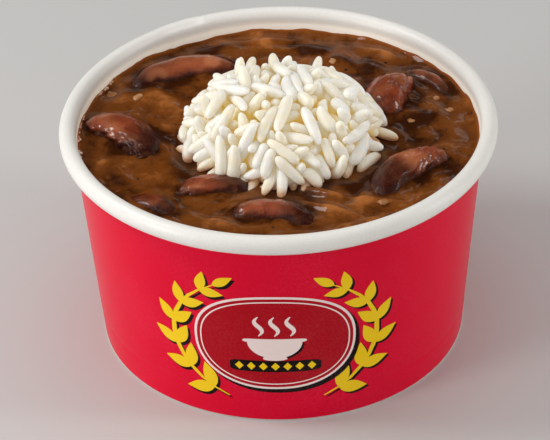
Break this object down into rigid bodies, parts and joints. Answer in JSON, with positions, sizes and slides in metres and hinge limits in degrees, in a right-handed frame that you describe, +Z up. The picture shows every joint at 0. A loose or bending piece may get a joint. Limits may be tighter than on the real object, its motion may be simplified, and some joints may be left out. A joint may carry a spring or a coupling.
{
  "type": "red beans and rice in a paper cup",
  "caption": "Short round paper food cup of kidney beans in thick brown gravy, topped with a heap of white rice.",
  "frame": {"origin": "on the table, under the middle of the cup", "axes": "+Z up; the middle of the printed side faces -Y, and +X is to its right"},
  "size_m": [0.09, 0.09, 0.0574],
  "materials": {
    "cup_print": "coated board, glossy red print below a white rolled rim",
    "cup_board": "white coated board",
    "gravy": "thick wet brown gravy",
    "rice": "moist cooked white rice",
    "beans": "wet cooked red kidney beans"
  },
  "bodies": {
    "root": {"cup_wall": "cup_print", "cup_base": "cup_board", "gravy": "gravy", "rice_mound": "rice", "bean_left": "beans", "bean_back_left": "beans", "bean_right_back": "beans", "bean_far_right": "beans", "bean_right_front": "beans", "bean_by_rice": "beans", "bean_front": "beans", "bean_front_left": "beans"}
  },
  "joints": []
}
